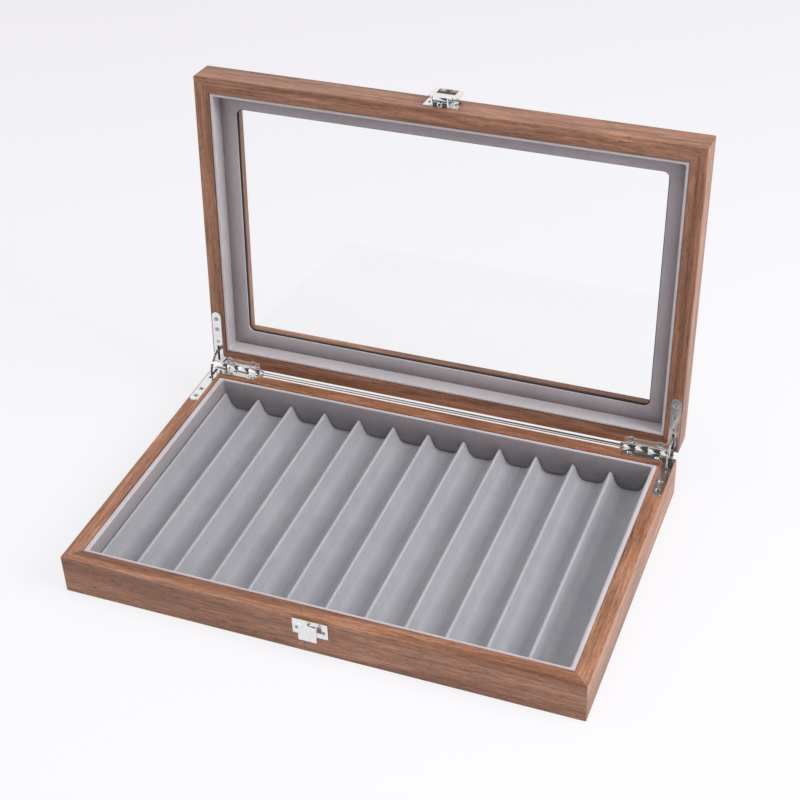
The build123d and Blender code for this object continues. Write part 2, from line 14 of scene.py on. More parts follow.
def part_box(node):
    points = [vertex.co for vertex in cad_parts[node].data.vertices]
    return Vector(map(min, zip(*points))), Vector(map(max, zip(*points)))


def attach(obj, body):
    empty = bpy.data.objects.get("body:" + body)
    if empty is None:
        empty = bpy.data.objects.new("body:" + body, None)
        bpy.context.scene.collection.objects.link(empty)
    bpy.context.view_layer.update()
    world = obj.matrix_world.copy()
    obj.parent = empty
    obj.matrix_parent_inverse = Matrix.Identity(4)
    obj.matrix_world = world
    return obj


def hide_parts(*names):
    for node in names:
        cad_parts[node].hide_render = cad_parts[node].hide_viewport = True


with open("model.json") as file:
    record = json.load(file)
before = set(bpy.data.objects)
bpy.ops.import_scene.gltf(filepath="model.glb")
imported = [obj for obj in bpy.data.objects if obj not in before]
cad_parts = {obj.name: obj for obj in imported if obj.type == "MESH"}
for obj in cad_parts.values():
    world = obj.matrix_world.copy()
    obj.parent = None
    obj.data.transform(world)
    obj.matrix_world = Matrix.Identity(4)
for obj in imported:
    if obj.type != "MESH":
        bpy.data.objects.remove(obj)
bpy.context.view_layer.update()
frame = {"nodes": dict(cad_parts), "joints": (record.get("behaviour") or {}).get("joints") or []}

MM = 0.001
QUARTER_TURN = math.pi / 2
SIDES = ("front", "back", "left", "right")
NODES = frame["nodes"]

# The case's outer half length and half depth
CASE_HALF_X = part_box("base_right_rail")[1][0]
CASE_HALF_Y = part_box("base_back_rail")[1][1]

# The lid's turn from shut to open, as at rest
LID_HINGE = next(joint for joint in frame["joints"] if joint["name"] == "lid_hinge")
OPEN_ANGLE = math.radians(LID_HINGE["range_deg"][1])
HINGE_POINT = Vector(LID_HINGE["pos_m"])
OPENING = (
    Matrix.Translation(HINGE_POINT)
    @ Matrix.Rotation(-OPEN_ANGLE, 4, "X")
    @ Matrix.Translation(-HINGE_POINT)
)
CLOSING = OPENING.inverted()

# Camera, at the photograph's angle
CAMERA_AZIMUTH = math.radians(22.337)
CAMERA_ELEVATION = math.radians(36.434)
CAMERA_ROLL = math.radians(-2.44)
CAMERA_DISTANCE = 0.99646
CAMERA_TARGET = Vector((0.01924, 0.0, 0.11783))
CAMERA_LENS = 74.08
CAMERA_SENSOR = 36.0

# Softened edges of the solids
WELD_DISTANCE = 0.001 * MM
EDGE_ANGLE = math.radians(28)
EDGE_SEGMENTS = 2
RAIL_EDGE = 0.14 * MM
METAL_EDGE = 0.10 * MM

# Velvet tray
GROOVE_COUNT = 12
LEDGE = 3.6 * MM
CREST_RADIUS = 1.285 * MM
GROOVE_FLOOR = 1.1 * MM
FLANK_ANGLE = math.radians(70)
FOOT_RADIUS = 6.0 * MM
TRAY_ROUND = 0.9 * MM
CREST_STEPS = 6
FLANK_STEPS = 5
FOOT_STEPS = 9
ROUND_STEPS = 6
TRAY_ROWS = 64

# Unevenness of the cloth: its height, and the lumps per metre along X, Y and Z
NAP_LUMP = 0.10 * MM
NAP_WAVES = (90, 40, 90)
NAP_RIPPLES = (300, 130, 300)
RIPPLE_SHARE = 0.5
LINING_LUMP = 0.3 * NAP_LUMP
LINING_WAVES = (120, 120, 120)

# Padded linings
SIDE_PADDING = 2.3 * MM
FRONT_PADDING = 0.9 * MM
PAD_ROUND = 0.9 * MM
LID_PADDING = 1.0 * MM
SEAM = 0.25 * MM
LINING_CORNER = 1.6 * MM
SHARP = 0.1 * MM
CORNER_STEPS = 8
SIDE_STEPS = 24

# Board round the window, and the black bead between it and the glass, which paints the shade in
# the gap
EDGE_ROUND = 0.35 * MM
ROUND_MIDDLE = 0.3
WINDOW_CORNER = 4.5 * MM
WINDOW_MARGIN = 24.0 * MM
BEAD_WIDTH = 0.7 * MM
BEAD_LAP = 0.4 * MM
BEAD_DEPTH = 0.9 * MM
BEAD_GAP = 0.05 * MM
BEAD_STEPS = 5

# Mouth of the latch's housing. Each level is a share of its outline and a height
HOUSING_OUT = 3.9 * MM
MOUTH_HALF = 4.6 * MM
MOUTH_WALL = 0.35 * MM
MOUTH_BACK = 0.7 * MM
MOUTH_CORNER = 0.5 * MM
MOUTH_STEPS = 5
MOUTH_LEVELS = ((1.0, -0.05 * MM), (0.97, 0.03 * MM), (0.90, 0.02 * MM))

# Felt
FELT_COLUMNS = 56
FELT_ROWS = 34
FELT_ROUND = 0.25 * MM
FELT_EDGE = 4 * FELT_ROUND
FELT_LUMP = 0.08 * MM
FELT_WAVES = (55, 55, 1)
FELT_LAYER = 3.1

# Hinge rod, with a neck turned down near each rounded tip
ROD_RADIUS = 1.2 * MM
ROD_NECK = 0.9 * MM
ROD_ROUND = 0.4 * MM
ROD_END_GAP = 0.05 * MM
NECK_START = 1.4 * MM
NECK_END = 2.2 * MM
NECK_SLOPE = 0.1 * MM
TIP_STEPS = 6
ROD_STEPS = 60
ROD_SPOKES = 32

# Heads of the screws, rivets and nails. Cross sizes are shares of a head's radius
SCREW_DOME = 0.22 * MM
SCREW_SUNK = 0.12 * MM
NAIL_DOME = 0.55 * MM
NAIL_SUNK = 0.45 * MM
HEAD_TURN = 1.1
HEAD_CLEARANCE = 0.03 * MM
HEAD_SKIRT = 0.35 * MM
HEAD_SHOULDER = 0.86
HEAD_DROP = 0.35
HEAD_RINGS = 20
HEAD_SPOKES = 48
CROSS_HALF = 0.13
CROSS_REACH = 0.56
CROSS_SLOPE = 0.08
CROSS_DEPTH = 0.55 * MM
POINT_DIGITS = 7

# Walnut: the grain's place on each rail, and how dark each rail is
GRAIN_STEP = (0.37, 0.11, 0.05)
LID_GRAIN_START = 1.3
RAIL_TONES = (0.92, 0.98, 1.04, 1.02)
LID_TONE = 0.98
WALNUT_DARK = (0.175, 0.074, 0.040)
WALNUT_MIDDLE = (0.322, 0.148, 0.085)
WALNUT_LIGHT = (0.462, 0.236, 0.145)

# Walnut patterns: stretch along X, Y and Z, then scale, detail, roughness and distortion
FIGURE = ((0.6, 10, 10), 6.0, 3.0, 0.55, 0.9)
BANDS = ((2.4, 34, 34), 7.0, 4.0, 0.62, 1.1)
STREAKS = ((2.2, 70, 70), 12.0, 4.0, 0.62, 0.3)
SPECKS = ((9, 150, 150), 12.0, 4.0, 0.65, 0.2)
PORES = ((20, 150, 150), 10.0, 2.0, 0.5, 0.0)

# Walnut ramps, which the colour is multiplied by
BAND_RAMP = [(0.32, (0.70, 0.65, 0.62)), (0.50, (1.0, 0.98, 0.96)), (0.66, (1.26, 1.27, 1.27))]
STREAK_RAMP = [(0.32, (0.68, 0.63, 0.60)), (0.48, (0.98, 0.96, 0.95)), (0.66, (1.16, 1.15, 1.13))]
SPECK_RAMP = [(0.36, (0.68, 0.64, 0.61)), (0.60, (1.16, 1.15, 1.14))]
PORE_RAMP = [(0.60, (1.0, 1.0, 1.0)), (0.68, (0.42, 0.36, 0.34))]

# Velvets
TRAY_GREY = (0.36, 0.36, 0.385)
BASE_GREY = (0.375, 0.335, 0.345)
# The lid's lining and the board are the base's cloth painted lighter: painted light
LID_GREY_PAINTED_LIGHT = (0.53, 0.48, 0.495)
BOARD_GREY_PAINTED_LIGHT = (0.46, 0.41, 0.425)
# Paler velvet on cut edges and the linings' rounded rims: partly the cut edge's own colour, partly
# painted highlight
CUT_EDGE_AND_HIGHLIGHT_GREY = (0.55, 0.505, 0.525)
PLAIN_SHEEN = 0.35
CUT_SHEEN = 0.5
SHEEN_TINT = (0.92, 0.92, 0.96, 1.0)
# Band under the tray's crests that is painted paler: a painted highlight
CREST_HIGHLIGHT_FROM = 0.9 * MM
CREST_HIGHLIGHT_TO = 0.1 * MM

# Metals: how dark and what tint, and how rough
PLATING_LEVELS = (0.76, 0.84)
WHITE = (1.0, 1.0, 1.0)
POLISHED = 0.10
NAIL_TONE, NAIL_TINT, NAIL_ROUGH = 0.42, (1.0, 0.95, 0.9), 0.25
SCREW_TONE = 0.62
RING_TONE = 0.8
RIVET_TONE, RIVET_TINT, RIVET_ROUGH = 0.95, (1.0, 0.90, 0.66), 0.15
# Near-black steel for the housing's mouth: painted shade
MOUTH_SHADE_TONE, MOUTH_SHADE_TINT, MOUTH_ROUGH = 0.10, (0.95, 1.0, 0.98), 0.3

# Glass
GLASS_IOR = 1.28
GLASS_COLOUR = (0.985, 0.992, 0.99, 1.0)

# Sockets of a Mix node that mixes colours
MIX_FACTOR, MIX_FIRST, MIX_SECOND, MIX_RESULT = 0, 6, 7, 2

# Studio
FLOOR_HALF = 6.0
# Direction of the floor glow's painted shade, which greys it towards the far left
FLOOR_FADE = (0.50, -0.87, 0.0)
FLOOR_GLOW = 0.80
WORLD_STRENGTH = 0.46
WORLD_COLOUR = (0.97, 0.965, 1.0, 1.0)
BACKDROP_COLOUR = (0.90, 0.89, 0.92, 1.0)
DARK_SIDE = (0.95, 0.0, 0.31)
DARK_RAMP = [(0.475, WHITE), (0.522, (0.050, 0.062, 0.052))]
LAMP_AIM = Vector((0, 0.03, 0.08))
KEY_PLACE = (1.62, -0.02, 1.25)
KEY_SIZE = 1.0
KEY_POWER = 30.0
TOP_PLACE = (0.1, -0.22, 2.1)
TOP_SIZE = 1.2
TOP_POWER = 12.0
FILL_PLACE = (-1.5, -0.3, 1.0)
FILL_SIZE = 1.0
FILL_POWER = 4.0


# ------------------------------------------------------------- geometry


def closed_box(node):
    """Corners of a lid node with the lid shut."""
    points = [CLOSING @ vertex.co for vertex in NODES[node].data.vertices]
    low = Vector([min(point[axis] for point in points) for axis in range(3)])
    high = Vector([max(point[axis] for point in points) for axis in range(3)])
    return low, high


def new_object(name, points, faces, materials, face_materials=None):
    """Mesh object with smooth shading from points and faces, its normals outward."""
    mesh = bpy.data.meshes.new(name)
    mesh.from_pydata([tuple(point) for point in points], [], faces)
    for material in materials:
        mesh.materials.append(material)
    for number, polygon in enumerate(mesh.polygons):
        polygon.use_smooth = True
        if face_materials:
            polygon.material_index = face_materials[number]
    work = bmesh.new()
    work.from_mesh(mesh)
    bmesh.ops.recalc_face_normals(work, faces=work.faces)
    work.to_mesh(mesh)
    work.free()
    mesh.update()
    made = bpy.data.objects.new(name, mesh)
    bpy.context.scene.collection.objects.link(made)
    return made


def soften_edges(piece, width):
    """Round the sharp edges of a solid by the given width."""
    weld = piece.modifiers.new("join_edges", "WELD")
    weld.merge_threshold = WELD_DISTANCE
    edge = piece.modifiers.new("round_edges", "BEVEL")
    edge.width = width
    edge.segments = EDGE_SEGMENTS
    edge.limit_method = "ANGLE"
    edge.angle_limit = EDGE_ANGLE
    edge.use_clamp_overlap = True
    edge.harden_normals = True


def grid_faces(rows, columns, closed_rows=False):
    """Quads of a grid of points, listed row after row."""
    faces = []
    last = rows if closed_rows else rows - 1
    for row in range(last):
        after = (row + 1) % rows
        for column in range(columns - 1):
            faces.append((
                row * columns + column,
                after * columns + column,
                after * columns + column + 1,
                row * columns + column + 1,
            ))
    return faces


def loop_faces(start, count):
    """Quads between a loop of points, whose first number is given, and the next loop."""
    faces = []
    for number in range(count):
        after = (number + 1) % count
        faces.append((
            start + number, start + after, start + count + after, start + count + number,
        ))
    return faces


def arc(centre, radius, start, end, steps):
    """Points of an arc, with angles in radians."""
    points = []
    for step in range(steps + 1):
        angle = start + (end - start) * step / steps
        points.append((centre[0] + radius * math.cos(angle), centre[1] + radius * math.sin(angle)))
    return points


def circle(radius, spokes):
    """Points evenly round a circle."""
    angles = [2 * math.pi * spoke / spokes for spoke in range(spokes)]
    return [(radius * math.cos(angle), radius * math.sin(angle)) for angle in angles]


def between(first, last, steps):
    """Points evenly spaced between two points, without the two."""
    points = []
    for step in range(1, steps):
        share = step / steps
        points.append(tuple(one + (other - one) * share for one, other in zip(first, last)))
    return points


def smooth_step(value):
    """Soft step from 0 to 1."""
    value = min(max(value, 0.0), 1.0)
    return value * value * (3 - 2 * value)


def unevenness(point, waves):
    """Smooth noise at a point, with its lumps per metre along X, Y and Z."""
    return noise.noise(Vector([value * count for value, count in zip(point, waves)]))


# ----------------------------------------------------------------- tray


def half_ridge(half_pitch, low, top):
    """Section from a ridge's crest down to the middle of the groove beside it."""
    crest_end = QUARTER_TURN - FLANK_ANGLE
    crest = arc((0, top - CREST_RADIUS), CREST_RADIUS, QUARTER_TURN, crest_end, CREST_STEPS)
    edge = CREST_RADIUS * math.tan(FLANK_ANGLE / 2)
    run = (top - low) / math.tan(FLANK_ANGLE)
    foot_x = edge + run + FOOT_RADIUS * math.tan(FLANK_ANGLE / 2)
    foot_x = min(foot_x, half_pitch)
    foot_start = -QUARTER_TURN - FLANK_ANGLE
    foot = arc((foot_x, low + FOOT_RADIUS), FOOT_RADIUS, foot_start, -QUARTER_TURN, FOOT_STEPS)
    return crest + between(crest[-1], foot[0], FLANK_STEPS) + foot + [(half_pitch, low)]


def tray_section(low_corner, high_corner):
    """X and Z along the whole tray, from its left wall to its right wall."""
    width = high_corner.x - low_corner.x
    pitch = (width - 2 * LEDGE) / GROOVE_COUNT
    floor = low_corner.z + GROOVE_FLOOR
    half = half_ridge(pitch / 2, floor, high_corner.z)
    edge = high_corner.x - SIDE_PADDING - SEAM
    bend_centre = (edge - TRAY_ROUND, high_corner.z - TRAY_ROUND)
    bend = arc(bend_centre, TRAY_ROUND, QUARTER_TURN, 0, ROUND_STEPS)
    points = [(-edge, low_corner.z)] + [(-x, z) for x, z in reversed(bend)]
    for number in range(GROOVE_COUNT):
        left = low_corner.x + LEDGE + number * pitch
        rising = [(left + pitch - x, z) for x, z in reversed(half)]
        points += [(left + x, z) for x, z in half[:-1]] + rising[:-1]
    points.append((low_corner.x + LEDGE + GROOVE_COUNT * pitch, high_corner.z))
    return points + bend + [(edge, low_corner.z)]


def nap_sag(point):
    """How far the velvet lies below the tray's section at a point."""
    lump = unevenness(point, NAP_WAVES) + RIPPLE_SHARE * unevenness(point, NAP_RIPPLES)
    return abs(lump) * NAP_LUMP


def velvet_tray(material):
    """Tray with its twelve grooves, slightly uneven as cloth over a core is."""
    low_corner, high_corner = (Vector(corner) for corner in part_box("pen_tray_insert"))
    section = tray_section(low_corner, high_corner)
    end = high_corner.y - FRONT_PADDING - SEAM
    points = []
    for row in range(TRAY_ROWS):
        y = end * (2 * row / (TRAY_ROWS - 1) - 1)
        for x, z in section:
            sag = nap_sag((x, y, z)) if z > low_corner.z else 0.0
            points.append((x, y, z - sag))
    columns = len(section)
    last_row = (TRAY_ROWS - 1) * columns
    faces = grid_faces(TRAY_ROWS, columns)
    faces.append(tuple(range(columns)))
    faces.append(tuple(reversed(range(last_row, last_row + columns))))
    for row in range(TRAY_ROWS - 1):
        start, after = row * columns, (row + 1) * columns
        faces.append((start, start + columns - 1, after + columns - 1, after))
    piece = new_object("velvet_tray", points, faces, [material])
    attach(piece, "base")
    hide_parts("pen_tray_insert")
    return piece


# --------------------------------------------------- linings and window


def rounded_loop(margin, widening, radius):
    """Points round a rectangle that lies the given margin inside the case, with the
    widening added at its left and right."""
    centre_x = CASE_HALF_X - margin - widening - radius
    centre_y = CASE_HALF_Y - margin - radius
    bends = []
    for number, (side_x, side_y) in enumerate(((1, 1), (-1, 1), (-1, -1), (1, -1))):
        begin = number * QUARTER_TURN
        centre = (side_x * centre_x, side_y * centre_y)
        bends.append(arc(centre, radius, begin, begin + QUARTER_TURN, CORNER_STEPS))
    points = []
    for number, bend in enumerate(bends):
        following = bends[(number + 1) % len(bends)][0]
        points += bend + between(bend[-1], following, SIDE_STEPS)
    return points


def ring(name, section, materials, place=Matrix(), widening=0.0):
    """Closed ring whose section is a list of (margin, height, corner radius, material).
    The widening is how much more its inner side comes in at the left and right."""
    margins = [row[0] for row in section]
    reach = max(margins) - min(margins)
    loops = []
    for margin, _, radius, _ in section:
        extra = widening * (margin - min(margins)) / reach
        loops.append(rounded_loop(margin, extra, radius))
    rows, columns = len(loops[0]), len(section)
    points = []
    for number in range(rows):
        for loop, (_, height, _, _) in zip(loops, section):
            x, y = loop[number]
            lump = LINING_LUMP * unevenness((x, y, height), LINING_WAVES)
            points.append(place @ Vector((x, y, height + lump)))
    faces = grid_faces(rows, columns, closed_rows=True)
    face_materials = [section[column][3] for _ in range(rows) for column in range(columns - 1)]
    return new_object(name, points, faces, materials, face_materials)


def strip_section(outer, inner, root, rim):
    """Section of a padded lining strip with a round edge at its rim, from the wall round
    to the inside and back."""
    bend = min(PAD_ROUND, (inner - outer) / 2)
    reach = math.copysign(bend, rim - root)
    section = [(outer, root, SHARP, 0)]
    # The round edge gets material 1, the paler velvet: a painted highlight on the rim
    for centre, start in ((outer + bend, math.pi), (inner - bend, QUARTER_TURN)):
        for x, z in arc((0, 0), 1.0, start, start - QUARTER_TURN, ROUND_STEPS):
            margin = centre + bend * x
            corner = SHARP + (LINING_CORNER - SHARP) * (margin - outer) / (inner - outer)
            section.append((margin, rim - reach + reach * z, corner, 1))
    section[-1] = (*section[-1][:3], 0)
    section.append((inner, root, LINING_CORNER, 0))
    section.append((outer, root, SHARP, 0))
    return section


def velvet_linings(base_velvet, lid_velvet_painted_light, edge):
    """Strips on the inside of both halves' rails."""
    low, high = (Vector(corner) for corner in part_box("base_front_lining"))
    outer, inner = CASE_HALF_Y + low.y + SEAM, CASE_HALF_Y + high.y + FRONT_PADDING
    section = strip_section(outer, inner, low.z, high.z)
    widening = SIDE_PADDING - FRONT_PADDING
    base = ring("base_lining", section, [base_velvet, edge], widening=widening)
    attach(base, "base")
    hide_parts(*[f"base_{side}_lining" for side in SIDES])
    low, high = closed_box("lid_front_lining")
    outer, inner = CASE_HALF_Y + low.y + SEAM, CASE_HALF_Y + high.y + LID_PADDING
    section = strip_section(outer, inner, high.z, low.z)
    lid = ring("lid_lining", section, [lid_velvet_painted_light, edge], OPENING)
    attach(lid, "lid")
    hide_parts(*[f"lid_{side}_lining" for side in SIDES])
    return base, lid


def velvet_board(velvet, edge):
    """Board round the lid's window, with pale cut edges: partly their own paler colour, partly a
    painted highlight on the rounding.
    """
    low, high = closed_box("lid_board")
    outer = CASE_HALF_Y + low.y
    corner = ROUND_MIDDLE * EDGE_ROUND
    section = [
        (outer, high.z, SHARP, 0),
        (outer, low.z, SHARP, 0),
        (WINDOW_MARGIN - EDGE_ROUND, low.z, WINDOW_CORNER, 0),
        (WINDOW_MARGIN - corner, low.z + corner, WINDOW_CORNER, 1),
        (WINDOW_MARGIN, low.z + EDGE_ROUND, WINDOW_CORNER, 1),
        (WINDOW_MARGIN, high.z, WINDOW_CORNER, 0),
        (outer, high.z, SHARP, 0),
    ]
    board = ring("window_board", section, [velvet, edge], OPENING)
    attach(board, "lid")
    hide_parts("lid_board")
    return board


def window_shade_bead(material):
    """Black bead that closes the gap between the board and the glass; its black is painted shade
    for the dark gap.
    """
    low, high = closed_box("lid_board")
    outer, inner = WINDOW_MARGIN - BEAD_LAP, WINDOW_MARGIN + BEAD_WIDTH
    front, back = low.z + BEAD_DEPTH, high.z - BEAD_GAP
    corner = WINDOW_CORNER - BEAD_WIDTH
    section = []
    for x, z in arc((0, 0), 1.0, QUARTER_TURN, 0, BEAD_STEPS):
        margin = inner - BEAD_WIDTH + BEAD_WIDTH * x
        section.append((margin, front + BEAD_WIDTH * (1 - z), corner, 0))
    section.append((inner, back, corner, 0))
    section.append((outer, back, WINDOW_CORNER, 0))
    section.append((outer, front, WINDOW_CORNER, 0))
    section.append(section[0])
    bead = ring("window_shade_bead", section, [material], OPENING)
    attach(bead, "lid")
    return bead


# ------------------------------------------------------ latch and felt


def mouth_outline(front, back):
    """Rounded rectangle between two Y values, as X and Y, with X from its middle."""
    corner_x = MOUTH_HALF - MOUTH_CORNER
    near_y, far_y = front + MOUTH_CORNER, back - MOUTH_CORNER
    corners = ((corner_x, far_y), (-corner_x, far_y), (-corner_x, near_y), (corner_x, near_y))
    outline = []
    for number, corner in enumerate(corners):
        begin = number * QUARTER_TURN
        outline += arc(corner, MOUTH_CORNER, begin, begin + QUARTER_TURN, MOUTH_STEPS)
    return outline


def latch_mouth_shade(material):
    """Near-black cap at the open end of the latch's housing, where the catch's tongue goes in:
    painted shade for the inside of the mouth.
    """
    low, high = closed_box("latch_housing")
    front, back = MOUTH_WALL - HOUSING_OUT - CASE_HALF_Y, high.y - MOUTH_BACK
    centre_x, centre_y = (high.x + low.x) / 2, (front + back) / 2
    outline = mouth_outline(front, back)
    count = len(outline)
    points = []
    for share, height in MOUTH_LEVELS:
        for x, y in outline:
            place = (centre_x + x * share, centre_y + (y - centre_y) * share, low.z - height)
            points.append(OPENING @ Vector(place))
    last = (len(MOUTH_LEVELS) - 1) * count
    faces = []
    for start in range(0, last, count):
        faces += loop_faces(start, count)
    faces.append(tuple(range(last, last + count)))
    faces.append(tuple(reversed(range(count))))
    mouth = new_object("latch_mouth_shade", points, faces, [material])
    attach(mouth, "lid")
    return mouth


def felt_points(low, high):
    """Points of the felt's flat upper side, then of its uneven lower side."""
    points = []
    for height, swell in ((high.z, 0.0), (low.z, 1.0)):
        for row in range(FELT_ROWS):
            y = low.y + (high.y - low.y) * row / (FELT_ROWS - 1)
            for column in range(FELT_COLUMNS):
                x = low.x + (high.x - low.x) * column / (FELT_COLUMNS - 1)
                edge = min(x - low.x, high.x - x, y - low.y, high.y - y)
                round_up = FELT_ROUND * (1 - smooth_step(edge / FELT_EDGE))
                lump = FELT_LUMP * abs(unevenness((x, y, FELT_LAYER), FELT_WAVES))
                points.append((x, y, height + swell * (round_up + lump)))
    return points


def grid_rim(rows, columns):
    """Numbers of the points round the edge of a grid."""
    rim = list(range(columns))
    rim += [row * columns + columns - 1 for row in range(1, rows)]
    rim += [(rows - 1) * columns + column for column in reversed(range(columns - 1))]
    rim += [row * columns for row in reversed(range(1, rows - 1))]
    return rim


def felt_pad(material):
    """Felt under the chest, with a soft edge and a slightly uneven face."""
    low, high = (Vector(corner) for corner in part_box("underside_felt"))
    layer = FELT_ROWS * FELT_COLUMNS
    grid = grid_faces(FELT_ROWS, FELT_COLUMNS)
    upper = [tuple(reversed(face)) for face in grid]
    under = [tuple(index + layer for index in face) for face in grid]
    rim = grid_rim(FELT_ROWS, FELT_COLUMNS)
    sides = []
    for first, second in zip(rim, rim[1:] + rim[:1]):
        sides.append((first, first + layer, second + layer, second))
    pad = new_object("felt_pad", felt_points(low, high), upper + under + sides, [material])
    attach(pad, "base")
    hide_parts("underside_felt")
    return pad


# ------------------------------------------------------ rod and fasteners


def rod_end(tip_x):
    """X and radius along the rod's right end: its rounded tip, then its neck."""
    centre_x, centre_radius = tip_x - ROD_END_GAP - ROD_ROUND, ROD_RADIUS - ROD_ROUND
    return arc((centre_x, centre_radius), ROD_ROUND, 0, QUARTER_TURN, TIP_STEPS) + [
        (tip_x - NECK_START, ROD_RADIUS),
        (tip_x - NECK_START - NECK_SLOPE, ROD_NECK),
        (tip_x - NECK_END + NECK_SLOPE, ROD_NECK),
        (tip_x - NECK_END, ROD_RADIUS),
    ]


def through_rod(material):
    """Slim polished rod through both hinges, with turned-down rounded tips."""
    low, high = (Vector(corner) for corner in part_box("hinge_rod"))
    middle_y, middle_z = (low.y + high.y) / 2, (low.z + high.z) / 2
    end = rod_end(high.x)
    length = high.x - NECK_END
    profile = end + [
        (length * (1 - 2 * step / ROD_STEPS), ROD_RADIUS) for step in range(1, ROD_STEPS)
    ]
    profile += [(-x, radius) for x, radius in reversed(end)]
    points = []
    for x, radius in profile:
        for y, z in circle(radius, ROD_SPOKES):
            points.append((x, middle_y + y, middle_z + z))
    last = (len(profile) - 1) * ROD_SPOKES
    faces = []
    for start in range(0, last, ROD_SPOKES):
        faces += loop_faces(start, ROD_SPOKES)
    faces.append(tuple(reversed(range(ROD_SPOKES))))
    faces.append(tuple(range(last, last + ROD_SPOKES)))
    rod = new_object("through_rod", points, faces, [material])
    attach(rod, "base")
    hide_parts("hinge_rod")
    return rod


def loose_parts(node, place):
    """Point lists of a node's separate solids, moved by a matrix."""
    mesh = NODES[node].data
    keys = [tuple(round(value, POINT_DIGITS) for value in vertex.co) for vertex in mesh.vertices]
    group = {key: key for key in keys}

    def first(key):
        while group[key] != key:
            key = group[key]
        return key

    for edge in mesh.edges:
        one, other = (first(keys[end]) for end in edge.vertices)
        group[other] = one
    parts = {}
    for key in dict.fromkeys(keys):
        parts.setdefault(first(key), []).append(place @ Vector(key))
    return list(parts.values())


def fastener_heads(node, facing, closing):
    """Top middle and radius of each fastener in a node, in the closed chest."""
    axis = max(range(3), key=lambda number: abs(facing[number]))
    across = [number for number in range(3) if number != axis]
    heads = []
    for points in loose_parts(node, closing):
        middle = Vector()
        for number in across:
            values = [point[number] for point in points]
            middle[number] = (min(values) + max(values)) / 2
        middle[axis] = facing[axis] * max(point[axis] * facing[axis] for point in points)
        spread = [point[across[0]] - middle[across[0]] for point in points]
        heads.append((middle, max(spread)))
    return heads


def head_height(across, along, radius, dome, cross):
    """Height of a round head above its edge, with a cross recess if asked for."""
    share = math.hypot(across, along) / radius
    shoulder = smooth_step((share - HEAD_SHOULDER) / (1 - HEAD_SHOULDER))
    height = dome * (1 - share ** 2) - HEAD_DROP * dome * shoulder
    if cross:
        narrow, long = sorted((abs(across), abs(along)))
        arm = 1 - smooth_step((narrow / radius - CROSS_HALF) / CROSS_SLOPE)
        arm *= 1 - smooth_step((long / radius - CROSS_REACH) / CROSS_SLOPE)
        height -= arm * CROSS_DEPTH
    return height


def add_head(points, faces, place, radius, dome, cross):
    """Add one round head to a list of points and faces, standing on its place's Z = 0."""
    start = len(points)
    points.append(place @ Vector((0, 0, head_height(0, 0, radius, dome, cross))))
    for ring_number in range(1, HEAD_RINGS + 1):
        for x, y in circle(radius * ring_number / HEAD_RINGS, HEAD_SPOKES):
            points.append(place @ Vector((x, y, head_height(x, y, radius, dome, cross))))
    skirt = len(points)
    for x, y in circle(radius, HEAD_SPOKES):
        points.append(place @ Vector((x, y, -HEAD_SKIRT)))
    for spoke in range(HEAD_SPOKES):
        after = (spoke + 1) % HEAD_SPOKES
        faces.append((start, start + 1 + spoke, start + 1 + after))
        for inner in range(start + 1, skirt, HEAD_SPOKES):
            outer = inner + HEAD_SPOKES
            faces.append((inner + spoke, outer + spoke, outer + after, inner + after))
    faces.append(tuple(skirt + spoke for spoke in reversed(range(HEAD_SPOKES))))


def round_heads(name, node, body, facing, material, dome, sunk, cross):
    """Detailed heads in place of one node's fasteners, sunk below the fasteners' tops."""
    lid = body == "lid"
    turn = facing.to_track_quat("Z", "Y").to_matrix().to_4x4()
    points, faces = [], []
    for number, (middle, radius) in enumerate(
        fastener_heads(node, facing, CLOSING if lid else Matrix())
    ):
        spin = Matrix.Rotation(HEAD_TURN * (number + 1), 4, "Z")
        place = Matrix.Translation(middle - facing * sunk) @ turn @ spin
        if lid:
            place = OPENING @ place
        add_head(points, faces, place, radius - HEAD_CLEARANCE, dome, cross)
    piece = new_object(name, points, faces, [material])
    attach(piece, body)
    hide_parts(node)
    return piece


def fasteners(bright, dark):
    """Screws, rivets and nails with their real heads."""
    up, down, forward = Vector((0, 0, 1)), Vector((0, 0, -1)), Vector((0, -1, 0))
    screw = (bright, SCREW_DOME, SCREW_SUNK)
    nail = (dark, NAIL_DOME, NAIL_SUNK)
    round_heads("base_screws", "base_leaf_screws", "base", up, *screw, True)
    round_heads("lid_screws", "lid_leaf_screws", "lid", down, *screw, True)
    round_heads("stay_rivets", "leaf_rivets", "lid", down, *screw, False)
    round_heads("catch_nail_heads", "catch_nails", "base", forward, *nail, False)
    round_heads("latch_nail_heads", "latch_nails", "lid", forward, *nail, False)


# ------------------------------------------------------------ materials


class Tree:
    """A node tree, with short ways to add and join its nodes."""

    def __init__(self, tree):
        self.nodes = tree.nodes
        self.links = tree.links

    def add(self, kind, **values):
        """New node with its settings."""
        node = self.nodes.new(kind)
        for key, value in values.items():
            setattr(node, key, value)
        return node

    def join(self, output, target):
        """Link an output to an input."""
        self.links.new(output, target)

    def ramp(self, value, stops):
        """Colour ramp over a value, from (position, colour) stops."""
        node = self.add("ShaderNodeValToRGB")
        elements = node.color_ramp.elements
        while len(elements) < len(stops):
            elements.new(0.5)
        for element, (position, colour) in zip(elements, stops):
            element.position = position
            element.color = (*colour, 1.0)
        self.join(value, node.inputs["Fac"])
        return node.outputs["Color"]

    def along(self, vector, direction):
        """How far a vector reaches along a direction."""
        node = self.add("ShaderNodeVectorMath", operation="DOT_PRODUCT")
        node.inputs[1].default_value = direction
        self.join(vector, node.inputs[0])
        return node.outputs["Value"]

    def larger(self, first, second):
        """The larger of two values."""
        node = self.add("ShaderNodeMath", operation="MAXIMUM")
        self.join(first, node.inputs[0])
        self.join(second, node.inputs[1])
        return node.outputs["Value"]

    def mix_shaders(self, factor, first, second):
        """Mix of two shaders."""
        node = self.add("ShaderNodeMixShader")
        self.join(factor, node.inputs["Fac"])
        self.join(first, node.inputs[1])
        self.join(second, node.inputs[2])
        return node.outputs["Shader"]


